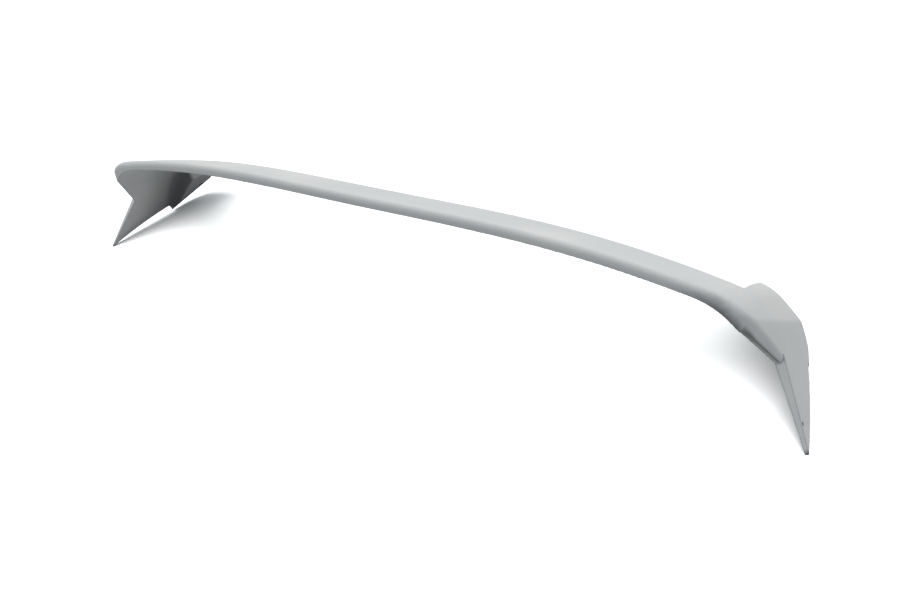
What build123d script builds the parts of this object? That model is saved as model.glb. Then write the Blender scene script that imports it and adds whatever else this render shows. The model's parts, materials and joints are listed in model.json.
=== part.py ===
from build123d import *
import math
import os

# A rear spoiler for a hatchback, moulded in one piece.
# A slender blade arches from side to side. At each end it turns down over a rounded shoulder
# into a leaning fin with a swallow-tail notch, a pointed spike and a mounting tongue.
# X runs across the car, +Y from the trailing edge to the tongues, Z up from the floor that the
# spike tips and heels stand on. Runs are distances in +Y from the trailing edge.
# The right half is modelled and mirrored.

# Overall
tip_span = 1154.0
depth = 214.0
crown_height = 221.0

# Upper skin, front view: a nearly flat crown that bends down at the haunch.
# Insets are distances in from the spike tip.
haunch_inset = 257.0
haunch_drop = 9.0
shoulder_inset = 103.0
shoulder_drop = 37.0
end_slope = 17.4

# Upper skin, side view: it falls away from the trailing edge, more steeply as it goes
front_slope = 21.5
camber_radius = 1050.0

# Blade section
blade_chord = 80.0
edge_height = 16.0
blade_rear_thickness = 9.0

# Leaning fins, slightly bowed outward in plan view
fin_lean = 32.4
fin_inner_lean = 35.6
foot_width = 4.5
fin_bow_radius = 950.0
fin_bow_run = 95.0
shoulder_radius = 70.0
inner_shoulder_radius = 75.0

# Character line on the fin's outer face, above which the shoulder breaks back.
# Its drops below the crown are at the trailing edge and at the tongue's end.
line_front_drop = 50.0
line_rear_drop = 196.0
line_clearance = 3.0
shoulder_lean = 47.0

# Swallow-tail notch with the spike below it, and the facet that bevels the shoulder above it
notch_inset = 62.0
notch_depth = 44.0
notch_height = 85.0
notch_top_inset = 115.0
notch_top = 155.0
notch_skew = 20.0
facet_skew = 50.0
rim_width = 6.0

# Relief under the fin, between the spike tip and the heel
relief_height = 17.0
relief_mid_height = 11.2
heel_start = 143.0
heel_end = 149.0
heel_rake = 5.0
heel_width = 3.0

# Mounting tongue
tongue_root_inset = 114.0
tongue_end_inset = 82.0
tongue_corner_radius = 30.0
scoop_end = 141.0
scoop_end_radius = 12.0
land_slope = 43.0
land_inset = 7.5
feather_slope = 33.3
feather_rise = 8.3

# Blind fixing bore in the land of each tongue
bore_diameter = 10.0
bore_depth = 9.0
bore_inset = 54.0
bore_run = 191.0

# Edge rounding
corner_radius = 20.0
crease_radius = 8.0
step_radius = 6.0

half_span = tip_span / 2
front_y = -depth / 2
rear_y = depth / 2
haunch_x = half_span - haunch_inset
shoulder_x = half_span - shoulder_inset
notch_x = half_span - notch_inset
notch_top_x = half_span - notch_top_inset
tongue_root_x = half_span - tongue_root_inset
tongue_end_x = half_span - tongue_end_inset
bore_x = half_span - bore_inset
margin = 30.0
skin_runs = (-margin, depth / 3, 2 * depth / 3, depth + margin)
scoop_runs = (-margin, 0, blade_chord, scoop_end)


def rise(angle):
    """Height gained per unit length on a slope."""
    return math.tan(math.radians(angle))


def skin_drop(run):
    """Fall of the upper skin at a distance behind the trailing edge."""
    return rise(front_slope) * run + run**2 / (2 * camber_radius)


def skin_thickness(run):
    """Thickness of the skin, from the trailing edge to the blade's rear edge and beyond."""
    taper = (edge_height - blade_rear_thickness) / blade_chord
    return max(edge_height - taper * run, blade_rear_thickness)


def crown_section(run, sink):
    """Front-view section under the upper skin, lowered by sink."""
    top = crown_height - skin_drop(run) - sink
    reach = half_span + crown_height
    slope = math.radians(end_slope)
    reach_drop = shoulder_drop + math.tan(slope) * (reach - shoulder_x)
    bottom = -crown_height
    with BuildSketch(Plane.XZ.offset(-front_y - run)) as section:
        with BuildLine():
            skin = Spline(
                (0, top),
                (haunch_x, top - haunch_drop),
                (shoulder_x, top - shoulder_drop),
                (reach, top - reach_drop),
                tangents=((1, 0), (math.cos(slope), -math.sin(slope))),
            )
            Polyline(skin @ 1, (reach, bottom), (0, bottom), (0, top))
        make_face()
    return section.sketch


def fin_bow(run):
    """How far the fin swells outward from the spike tip, plan view."""
    return (fin_bow_run**2 - (run - fin_bow_run) ** 2) / (2 * fin_bow_radius)


def fin_section(run, inset, lean):
    """Front-view space between the middle of the car and one leaning face of the fin."""
    height = 2 * crown_height
    foot_x = half_span + fin_bow(run) - inset
    top_x = foot_x - rise(lean) * height
    with BuildSketch(Plane.XZ.offset(-front_y - run)) as section:
        Polygon((0, 0), (foot_x, 0), (top_x, height), (0, height), align=None)
    return section.sketch


def line_height(run):
    """Height of the character line on the fin's outer face."""
    drop = line_front_drop + (line_rear_drop - line_front_drop) * run / depth
    return crown_height - drop


def outer_section(run):
    """Front-view space between the middle of the car and the fin's outer face with its shoulder.

    It starts on the floor, or below the low end of the character line where that goes deeper.
    """
    height = 2 * crown_height
    line_z = line_height(run)
    foot_z = min(0, line_height(skin_runs[-1]) - line_clearance)
    foot_x = half_span + fin_bow(run) - rise(fin_lean) * foot_z
    line_x = foot_x - rise(fin_lean) * (line_z - foot_z)
    top_x = line_x - rise(shoulder_lean) * (height - line_z)
    with BuildSketch(Plane.XZ.offset(-front_y - run)) as section:
        Polygon(
            (0, foot_z),
            (foot_x, foot_z),
            (line_x, line_z),
            (top_x, height),
            (0, height),
            align=None,
        )
    return section.sketch


def shoulder_edge(part):
    """The long edge where the upper skin meets the face below its shoulder."""
    long_edges = part.edges().filter_by(lambda edge: edge.length > scoop_end)
    return long_edges.sort_by_distance((shoulder_x, 0, crown_height))[0]


def outer_edges(edges):
    """The edges away from the middle of the car and above the floor."""
    return edges.filter_by(lambda edge: (edge @ 0.5).X > 0 and (edge @ 0.5).Z > 0)


def notch_face(low, high, skew):
    """Plane through two points of the notch and level along a line turned outward from X by skew."""
    turn = math.radians(skew)
    along = Vector(math.cos(turn), math.sin(turn), 0)
    return Plane(origin=low, x_dir=along, z_dir=along.cross(high - low))


def notch_cutter(strip, upper):
    """Everything in front of both faces of the notch."""
    with BuildPart() as cutter:
        with BuildSketch(strip):
            Rectangle(2 * tip_span, 2 * tip_span)
        extrude(amount=tip_span)
        with BuildSketch(upper):
            Rectangle(2 * tip_span, 2 * tip_span)
        extrude(amount=tip_span, mode=Mode.INTERSECT)
    return cutter.part


# Corners of the notch on the fin's inner face, and the planes of its strip, its rim and the facet
tip = Vector(half_span - foot_width, front_y, 0)
apex = Vector(notch_x, front_y + notch_depth, notch_height)
arm_top = Vector(notch_top_x, front_y, notch_top)
strip = notch_face(tip, apex, notch_skew)
rim = notch_face(apex, arm_top, notch_skew)
rim_step = rim.x_dir * rim_width
facet = notch_face(apex + rim_step, arm_top + rim_step, facet_skew)

# Outer form: the upper skin and the outer face of the fin, blended at the shoulder
with BuildPart() as outer_form:
    loft([crown_section(run, 0) for run in skin_runs])
    loft([outer_section(run) for run in skin_runs], mode=Mode.INTERSECT)
    fillet(shoulder_edge(outer_form.part), shoulder_radius)

    # Trailing edge: everything in front of its plane
    with BuildSketch(Plane.YZ):
        with Locations((front_y - margin / 2, crown_height / 2)):
            Rectangle(margin, 2 * crown_height)
    extrude(amount=tip_span, mode=Mode.SUBTRACT)

    # Facet beside the notch
    add(notch_cutter(strip, facet), mode=Mode.SUBTRACT)

    # The trailing edge turns into the facet round a corner
    trailing_face = outer_form.faces().filter_by(Plane.XZ).sort_by(Axis.Y)[0]
    facet_face = outer_form.faces().filter_by(facet)[0]
    fillet(trailing_face.edges() & facet_face.edges(), corner_radius)

    # Softened crease between the upper skin and the trailing edge, its corner and the facet
    skin_edges = outer_form.faces().filter_by(GeomType.BSPLINE).edges()
    edge_faces = outer_form.faces().filter_by(GeomType.CYLINDER)
    edge_faces += outer_form.faces().filter_by(Plane.XZ).sort_by(Axis.Y)[:1]
    edge_faces += outer_form.faces().filter_by(facet)
    creases = outer_edges(skin_edges & edge_faces.edges())
    fillet(creases.sort_by(Axis.X), crease_radius)

# Scoop: the hollow under the blade and inside the fin, with a rounded end in front of the tongue
with BuildPart() as scoop:
    loft([crown_section(run, skin_thickness(run)) for run in scoop_runs])
    loft([fin_section(run, foot_width, fin_inner_lean) for run in scoop_runs], mode=Mode.INTERSECT)
    fillet(shoulder_edge(scoop.part), inner_shoulder_radius)
    end_edges = scoop.faces().sort_by(Axis.Y)[-1].edges()
    fillet(outer_edges(end_edges), scoop_end_radius)

# Right half: the outer form less the scoop, trimmed to the outlines of the real piece
with BuildPart() as half:
    add(outer_form.part)
    add(scoop.part, mode=Mode.SUBTRACT)

    # Swallow-tail notch
    add(notch_cutter(strip, rim), mode=Mode.SUBTRACT)

    # Behind the blade and inside the tongue, plan view
    with BuildSketch(Plane.XY.offset(-margin)) as behind:
        Polygon(
            (0, front_y + blade_chord),
            (tongue_root_x, front_y + blade_chord),
            (tongue_end_x, rear_y),
            (tongue_end_x, rear_y + 2 * margin),
            (0, rear_y + 2 * margin),
            align=None,
        )
        step = behind.vertices().sort_by_distance((tongue_root_x, front_y + blade_chord, -margin))[0]
        fillet(step, step_radius)
    extrude(amount=2 * crown_height, mode=Mode.SUBTRACT)

    # Outside the tongue's rounded end, plan view, and below the floor
    widest = half_span + fin_bow(fin_bow_run)
    with BuildSketch(Plane.XY) as outline:
        with Locations((widest / 2, 0)):
            Rectangle(widest, depth)
        fillet(outline.vertices().sort_by_distance((widest, rear_y, 0))[0], tongue_corner_radius)
    extrude(amount=2 * crown_height, mode=Mode.INTERSECT)

    # Land under the tongue, on the slope of the car body
    land_foot_x = half_span - land_inset
    land_rise = rise(land_slope) * land_foot_x
    with BuildSketch(Plane.XZ.offset(-front_y - blade_chord)):
        Polygon((0, 0), (land_foot_x, 0), (0, land_rise), align=None)
    extrude(amount=-depth, mode=Mode.SUBTRACT)

    # Feathered underside outside the land, rising from the heel to the tongue's end
    feather = Plane(
        origin=(half_span, front_y + heel_end, 0),
        z_dir=(-rise(feather_slope), rise(feather_rise), -1),
    )
    with BuildSketch(feather):
        Rectangle(2 * depth, 2 * depth)
    extrude(amount=depth, mode=Mode.SUBTRACT)

    # Outer side of the heel
    heel_x = land_foot_x + heel_width
    with BuildSketch(Plane.XZ.offset(-front_y - heel_start + heel_rake)):
        Polygon((heel_x, 0), (widest, 0), (widest, relief_height), (heel_x, relief_height), align=None)
    extrude(amount=-depth, mode=Mode.SUBTRACT)

    # Relief under the fin between the spike tip and the heel
    with BuildSketch(Plane.YZ):
        with BuildLine():
            arch = ThreePointArc(
                (front_y, 0),
                (front_y + heel_start / 2, relief_mid_height),
                (front_y + heel_start - heel_rake, relief_height),
            )
            Polyline(arch @ 1, (front_y + heel_start, 0), (front_y, 0))
        make_face()
    extrude(amount=tip_span, mode=Mode.SUBTRACT)

    # Blind fixing bore, square to the land
    land_normal = (-math.sin(math.radians(land_slope)), 0, -math.cos(math.radians(land_slope)))
    bore_mouth = (bore_x, front_y + bore_run, rise(land_slope) * (land_foot_x - bore_x))
    with Locations(Plane(origin=bore_mouth, z_dir=land_normal)):
        Hole(bore_diameter / 2, bore_depth)

# The whole spoiler
with BuildPart() as spoiler:
    add(half.part)
    mirror(about=Plane.YZ)

spoiler.part.label = "spoiler"
os.makedirs("parts", exist_ok=True)
export_step(spoiler.part, "parts/spoiler.step")
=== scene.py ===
import json
import math

import bmesh
import bpy
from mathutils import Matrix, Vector
from mathutils.kdtree import KDTree


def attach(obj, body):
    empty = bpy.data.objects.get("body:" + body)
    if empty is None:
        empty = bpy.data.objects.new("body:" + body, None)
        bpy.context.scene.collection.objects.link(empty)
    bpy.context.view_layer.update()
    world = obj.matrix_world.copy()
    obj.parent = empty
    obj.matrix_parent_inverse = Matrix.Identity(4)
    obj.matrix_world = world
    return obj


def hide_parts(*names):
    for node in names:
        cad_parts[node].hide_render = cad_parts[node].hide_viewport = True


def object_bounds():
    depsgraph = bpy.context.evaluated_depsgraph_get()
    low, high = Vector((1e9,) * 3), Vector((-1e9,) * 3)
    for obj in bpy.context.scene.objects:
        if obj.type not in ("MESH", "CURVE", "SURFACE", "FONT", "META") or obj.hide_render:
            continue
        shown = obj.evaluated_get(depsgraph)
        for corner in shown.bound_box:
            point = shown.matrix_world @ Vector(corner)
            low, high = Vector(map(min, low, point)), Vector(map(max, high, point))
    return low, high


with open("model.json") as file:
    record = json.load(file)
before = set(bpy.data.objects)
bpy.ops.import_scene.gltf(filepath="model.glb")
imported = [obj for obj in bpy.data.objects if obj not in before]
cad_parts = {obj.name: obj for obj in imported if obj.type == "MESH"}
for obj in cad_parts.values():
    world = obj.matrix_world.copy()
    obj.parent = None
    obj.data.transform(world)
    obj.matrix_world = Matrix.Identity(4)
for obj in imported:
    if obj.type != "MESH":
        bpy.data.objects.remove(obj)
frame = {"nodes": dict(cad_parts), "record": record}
cad_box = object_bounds()

# Spoiler body: blade, shoulders, fins and tongues in one moulding of rigid plastic.
# A mould leaves no knife edges, so the skin is resampled finely and its edges are eased.
# The character line along each fin's outer face is eased further than the rest.
cad_body = frame["nodes"]["spoiler"]
weld_distance = 1e-5
hard_angle = math.radians(30)
skin_cell = 0.001
smoothing = 0.5
edge_passes = 2
line_reach = 0.014
line_passes = 60
kept_share = 0.2

# The faces beside the character line hardly turn forward or back. These are parts of their unit
# normals: the most along Y, the most along Z below the line, and the range along Z above it.
side_turn = 0.3
fin_tilt = 0.60
shoulder_tilt = 0.65
crown_tilt = 0.80

cad_skin = bmesh.new()
cad_skin.from_mesh(cad_body.data)
bmesh.ops.remove_doubles(cad_skin, verts=cad_skin.verts, dist=weld_distance)
welded_mesh = bpy.data.meshes.new("welded_skin")
cad_skin.to_mesh(welded_mesh)

trailing_y = min(corner.co.y for corner in cad_skin.verts)
edge_points = []
line_points = []
for edge in cad_skin.edges:
    start, end = (corner.co for corner in edge.verts)
    steps = math.ceil(edge.calc_length() / skin_cell)
    points = [start.lerp(end, step / steps) for step in range(steps + 1)]
    if edge.calc_face_angle(0.0) > hard_angle:
        edge_points += points
    low, high = sorted((face.normal for face in edge.link_faces), key=lambda normal: normal.z)
    on_outside = min(low.x * start.x, high.x * start.x) > 0
    faces_aside = max(abs(low.y), abs(high.y)) < side_turn
    if on_outside and faces_aside and low.z < fin_tilt and shoulder_tilt < high.z < crown_tilt:
        line_points += points
cad_skin.free()


def tree_of(points):
    """Search tree for the nearest of many points."""
    points_tree = KDTree(len(points))
    for index, point in enumerate(points):
        points_tree.insert(point, index)
    points_tree.balance()
    return points_tree


edge_tree = tree_of(edge_points)
line_tree = tree_of(line_points)

body = bpy.data.objects.new("spoiler_body", welded_mesh)
bpy.context.scene.collection.objects.link(body)
fine_skin = body.modifiers.new("fine skin", "REMESH")
fine_skin.mode = "VOXEL"
fine_skin.voxel_size = skin_cell
depsgraph = bpy.context.evaluated_depsgraph_get()
body.data = bpy.data.meshes.new_from_object(body.evaluated_get(depsgraph))
body.modifiers.clear()

line = body.vertex_groups.new(name="line")
for corner in body.data.vertices:
    away = line_tree.find(corner.co)[2]
    if away < line_reach:
        line.add([corner.index], 1 - away / line_reach, "REPLACE")

eased_edges = body.modifiers.new("eased edges", "SMOOTH")
eased_edges.factor = smoothing
eased_edges.iterations = edge_passes
soft_line = body.modifiers.new("soft line", "SMOOTH")
soft_line.factor = smoothing
soft_line.iterations = line_passes
soft_line.vertex_group = line.name
lean_mesh = body.modifiers.new("lean mesh", "DECIMATE")
lean_mesh.ratio = kept_share
depsgraph = bpy.context.evaluated_depsgraph_get()
body.data = bpy.data.meshes.new_from_object(body.evaluated_get(depsgraph))
body.data.name = "spoiler_body"
body.modifiers.clear()
body.vertex_groups.clear()
body.data.shade_smooth()

edge_distance = body.data.attributes.new("edge_distance", "FLOAT", "POINT")
for corner in body.data.vertices:
    edge_distance.data[corner.index].value = edge_tree.find(corner.co)[2]

# Grey primer, sprayed on: satin, finely grained and a little uneven.
# Dirt and painted shade sit along the front edges, most of all on the right arm; the fin hollows and
# the bores carry painted shade, and the spike tips are chipped. Spans are where a soft step starts
# and where it ends. Noise scales are features per metre.
primer = bpy.data.materials.new("grey_primer")
primer.use_nodes = True
tree = primer.node_tree
shader = tree.nodes["Principled BSDF"]
coordinates = tree.nodes.new("ShaderNodeTexCoord")
place = coordinates.outputs["Object"]


def noise(scale, detail):
    """Noise in the part's own space, 0 to 1."""
    node = tree.nodes.new("ShaderNodeTexNoise")
    node.inputs["Scale"].default_value = scale
    node.inputs["Detail"].default_value = detail
    tree.links.new(place, node.inputs["Vector"])
    return node.outputs["Fac"]


def ramp(value, span, low=0.0, high=1.0):
    """Soft step of a value, from low at the start of a span to high at its end."""
    node = tree.nodes.new("ShaderNodeMapRange")
    node.interpolation_type = "SMOOTHSTEP"
    node.inputs["From Min"].default_value = span[0]
    node.inputs["From Max"].default_value = span[1]
    node.inputs["To Min"].default_value = low
    node.inputs["To Max"].default_value = high
    tree.links.new(value, node.inputs["Value"])
    return node.outputs["Result"]


def combine(operation, first, second):
    """One arithmetic step on two values; the second may be a plain number."""
    node = tree.nodes.new("ShaderNodeMath")
    node.operation = operation
    tree.links.new(first, node.inputs[0])
    if isinstance(second, float):
        node.inputs[1].default_value = second
    else:
        tree.links.new(second, node.inputs[1])
    return node.outputs["Value"]


def ragged(distance, unevenness, depth):
    """A distance made uneven by noise, up to a depth."""
    return combine("ADD", distance, combine("MULTIPLY", unevenness, depth))


def tint(factor, base, coat):
    """Mix of a base colour with a coat; each is a colour or a socket."""
    material_tree = factor.id_data
    node = material_tree.nodes.new("ShaderNodeMix")
    node.data_type = "RGBA"
    material_tree.links.new(factor, node.inputs["Factor"])
    for socket, colour in ((node.inputs[6], base), (node.inputs[7], coat)):
        if isinstance(colour, tuple):
            socket.default_value = colour
        else:
            material_tree.links.new(colour, socket)
    return node.outputs[2]


def attribute(name):
    """A value stored on the mesh's corners."""
    node = tree.nodes.new("ShaderNodeAttribute")
    node.attribute_name = name
    return node.outputs["Fac"]


def reach_from(point):
    """Distance from a point of the part."""
    node = tree.nodes.new("ShaderNodeVectorMath")
    node.operation = "DISTANCE"
    tree.links.new(place, node.inputs[0])
    node.inputs[1].default_value = point
    return node.outputs["Value"]


cool_grey = (0.415, 0.422, 0.428, 1)
warm_grey = (0.452, 0.453, 0.45, 1)
speck_grey = (0.25, 0.26, 0.265, 1)
cloud_span = (0.35, 0.65)
speck_span = (0.55, 0.8)
speck_strength = 0.12
cloud = noise(scale=7.0, detail=3.0)
grain = noise(scale=900.0, detail=3.0)
speckle = noise(scale=260.0, detail=4.0)
primer_colour = tint(ramp(cloud, cloud_span), cool_grey, warm_grey)
primer_colour = tint(ramp(speckle, speck_span, high=speck_strength), primer_colour, speck_grey)

# Painted shade: the hollows of the fins are darkened in the colour on their inward and downward
# faces, more towards the hollow's end wall.
# The end wall is darkened in the colour too, and the land behind it less.
hollow_shade_grey = (0.06, 0.0625, 0.065, 1)
hollow_end = trailing_y + 0.141
inward_span = (-0.15, -0.35)
hollow_shade_span = (hollow_end - 0.095, hollow_end - 0.015)
hollow_shade_strength = 0.5
deep_shade_span = (hollow_end - 0.025, hollow_end)
deep_shade_strength = 0.4
land_shade_span = (hollow_end, hollow_end + 0.01)
land_shade_strength = 0.56
wall_turn_span = (-0.3, -0.7)
end_wall_shade_span = (hollow_end - 0.025, hollow_end - 0.01)
end_wall_shade_strength = 0.9
axes = tree.nodes.new("ShaderNodeSeparateXYZ")
tree.links.new(place, axes.inputs["Vector"])
facing = tree.nodes.new("ShaderNodeSeparateXYZ")
tree.links.new(coordinates.outputs["Normal"], facing.inputs["Vector"])
outward = combine("MULTIPLY", facing.outputs["X"], combine("SIGN", axes.outputs["X"], 0.0))
inward = ramp(combine("ADD", outward, facing.outputs["Z"]), inward_span)
hollow_shading = ramp(axes.outputs["Y"], hollow_shade_span, high=hollow_shade_strength)
deep_shading = ramp(axes.outputs["Y"], deep_shade_span, high=deep_shade_strength)
land_shading = ramp(axes.outputs["Y"], land_shade_span, low=1.0, high=land_shade_strength)
hollow_shading = combine("MULTIPLY", combine("ADD", hollow_shading, deep_shading), land_shading)
# Painted shade on the hollow's end wall, which faces forward
end_wall_shading = ramp(facing.outputs["Y"], wall_turn_span, high=end_wall_shade_strength)
end_wall_shading = combine("MULTIPLY", end_wall_shading, ramp(axes.outputs["Y"], end_wall_shade_span))
hollow_shading = combine("MAXIMUM", combine("MULTIPLY", hollow_shading, inward), end_wall_shading)
primer_colour = tint(hollow_shading, primer_colour, hollow_shade_grey)

# Painted shade: the bores and their rims are darkened in the colour
bores = [mount for mount in frame["record"]["mounts"] if mount["kind"] == "bore"]
bore_radius = bores[0]["dims"]["r_mm"] / 1000
bore_shade_span = (1.5 * bore_radius, 1.24 * bore_radius)
bore_reach = combine("MINIMUM", *(reach_from(mount["pos_m"]) for mount in bores))
bore_shade = ramp(bore_reach, bore_shade_span)

# Dirt and painted shade on the right arm: broad along the trailing edge, where distances from the
# edge are scaled down, and thinning to a line beside the notch. Thin lines of painted shade follow
# all edges at the front.
tip_x = cad_box[1][0]
notch_y = trailing_y + 0.044
notch_z = 0.085
right_span = (tip_x - 0.20, tip_x - 0.13)
front_span = (notch_y + 0.03, notch_y)
arm_span = (notch_z - 0.005, notch_z + 0.005)
taper_span = (tip_x - 0.12, tip_x - 0.07)
broad_scale = 0.5
fine_scale = 2.6
arm_dark_span = (0.009, 0.002)
arm_dark_depth = 0.004
arm_dark_strength = 0.72
broad_dark_span = (0.018, 0.006)
broad_dark_depth = 0.016
broad_dark_strength = 0.35
edge_line_shade_span = (0.0022, 0.0006)
edge_line_shade_depth = 0.001
edge_line_shade_strength = 0.4
right_fin = ramp(axes.outputs["X"], right_span)
front = ramp(axes.outputs["Y"], front_span)
arm = ramp(axes.outputs["Z"], arm_span)
patchy = noise(scale=120.0, detail=5.0)
cloudy = noise(scale=45.0, detail=3.0)
edge_away = attribute("edge_distance")
taper = ramp(axes.outputs["X"], taper_span, low=broad_scale, high=fine_scale)
arm_away = combine("MULTIPLY", edge_away, taper)
# Dirt and painted shade, dark in the colour along the right arm's trailing edge
arm_dirt_and_shade = ramp(ragged(arm_away, patchy, arm_dark_depth), arm_dark_span, high=arm_dark_strength)
arm_broad_dirt_and_shade = ramp(ragged(arm_away, cloudy, broad_dark_depth), broad_dark_span, high=broad_dark_strength)
arm_dirt_and_shade = combine("MULTIPLY", combine("MAXIMUM", arm_dirt_and_shade, arm_broad_dirt_and_shade), arm)
# Painted shade: thin dark lines in the colour along all edges at the front
edge_line_shade = ramp(ragged(edge_away, patchy, edge_line_shade_depth), edge_line_shade_span, high=edge_line_shade_strength)
dirt_and_shade = combine("MAXIMUM", combine("MULTIPLY", arm_dirt_and_shade, right_fin), edge_line_shade)
dirt_and_shade = combine("MULTIPLY", dirt_and_shade, front)

# Chipped spike tips, and one small dent on the right spike
chip_span = (0.015, 0.007)
chip_depth = 0.008
dent_place = (tip_x - 0.015, trailing_y + 0.022, 0.027)
dent_span = (0.0034, 0.0016)
tips = [(side * tip_x, trailing_y, 0.0) for side in (1, -1)]
tip_reach = combine("MINIMUM", *(reach_from(tip) for tip in tips))
tip_chips = ramp(ragged(tip_reach, patchy, chip_depth), chip_span)
dent = ramp(reach_from(dent_place), dent_span)

# Everything dark, the marks and the painted shade, in one mask, which is also rougher and a little
# lower than the primer
mark_and_shade_grey = (0.035, 0.036, 0.037, 1)
mark_roughness = 0.25
sheen_span = (0.3, 0.7)
smooth_primer = 0.52
rough_primer = 0.64
marks_and_shade = combine("MAXIMUM", combine("MAXIMUM", dirt_and_shade, tip_chips), combine("MAXIMUM", dent, bore_shade))
tree.links.new(tint(marks_and_shade, primer_colour, mark_and_shade_grey), shader.inputs["Base Color"])
sheen = ramp(cloud, sheen_span, low=smooth_primer, high=rough_primer)
roughness = combine("ADD", sheen, combine("MULTIPLY", marks_and_shade, mark_roughness))
tree.links.new(roughness, shader.inputs["Roughness"])
shader.inputs["Specular IOR Level"].default_value = 0.3
grain_bump = tree.nodes.new("ShaderNodeBump")
grain_bump.inputs["Strength"].default_value = 0.1
grain_bump.inputs["Distance"].default_value = 0.0004
tree.links.new(combine("SUBTRACT", grain, marks_and_shade), grain_bump.inputs["Height"])
tree.links.new(grain_bump.outputs["Normal"], shader.inputs["Normal"])

body.data.materials.clear()
body.data.materials.append(primer)
cad_body.material_slots[0].material = primer
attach(body, "root")
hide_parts("spoiler")

# Studio floor: a plain pale sweep that the part stands on. It looks white,
# but throws little light back up, so the hollows of the fins stay dark.
floor_reach = 30.0
seen_white = (0.95, 0.95, 0.95, 1)
bounce_grey = (0.33, 0.33, 0.33, 1)
floor_mesh = bpy.data.meshes.new("floor")
floor_mesh.from_pydata(
    [(-floor_reach, -floor_reach, 0), (floor_reach, -floor_reach, 0),
     (floor_reach, floor_reach, 0), (-floor_reach, floor_reach, 0)],
    [],
    [(0, 1, 2, 3)],
)
floor = bpy.data.objects.new("floor", floor_mesh)
bpy.context.scene.collection.objects.link(floor)
pale = bpy.data.materials.new("pale_floor")
pale.use_nodes = True
pale_shader = pale.node_tree.nodes["Principled BSDF"]
pale_shader.inputs["Roughness"].default_value = 0.9
pale_shader.inputs["Specular IOR Level"].default_value = 0.0
light_path = pale.node_tree.nodes.new("ShaderNodeLightPath")
paper = tint(light_path.outputs["Is Camera Ray"], bounce_grey, seen_white)
pale.node_tree.links.new(paper, pale_shader.inputs["Base Color"])
floor.data.materials.append(pale)

# Studio light: an even room, a very wide soft light overhead and behind the part, a weak fill in
# front of it, and a light in front that is flagged off the part and only washes the floor.
room = bpy.data.worlds.new("room")
bpy.context.scene.world = room
room.use_nodes = True
room.node_tree.nodes["Background"].inputs["Color"].default_value = (0.91, 0.97, 1, 1)
room.node_tree.nodes["Background"].inputs["Strength"].default_value = 0.55


def soft_light(name, target, energy, colour, spread, aim):
    """A wide light far away that reaches one object only."""
    light = bpy.data.lights.new(name, "SUN")
    light.energy = energy
    light.angle = math.radians(spread)
    light.color = colour
    stand = bpy.data.objects.new(name, light)
    stand.rotation_euler = Vector(aim).to_track_quat("-Z", "Y").to_euler()
    bpy.context.scene.collection.objects.link(stand)
    lit = bpy.data.collections.new(name)
    lit.objects.link(target)
    stand.light_linking.receiver_collection = lit


soft_light("ceiling", body, energy=3.2, colour=(1.0, 0.985, 0.965), spread=85, aim=(0.1, -0.4, -1.0))
soft_light("fill", body, energy=0.35, colour=(0.9, 0.97, 1.0), spread=60, aim=(0.4, 1.0, -0.1))
soft_light("floor_wash", floor, energy=5.4, colour=(1.0, 1.0, 1.0), spread=54, aim=(0.0, 0.85, -1.0))

# Camera: a wide lens half a metre from the trailing edge, above it and towards the right-hand fin.
# Its lens and place were worked out from the photo by the part's mirror symmetry.
camera = bpy.data.cameras.new("camera")
camera.lens = 21.913
camera.sensor_width = 36.0
camera.clip_start = 0.05
camera_stand = bpy.data.objects.new("camera", camera)
camera_stand.location = (0.40502, -0.60292, 0.55216)
camera_stand.rotation_euler = (math.radians(50.085), math.radians(2.638), math.radians(25.415))
bpy.context.scene.collection.objects.link(camera_stand)
bpy.context.scene.camera = camera_stand
bpy.context.scene.view_settings.view_transform = "Standard"
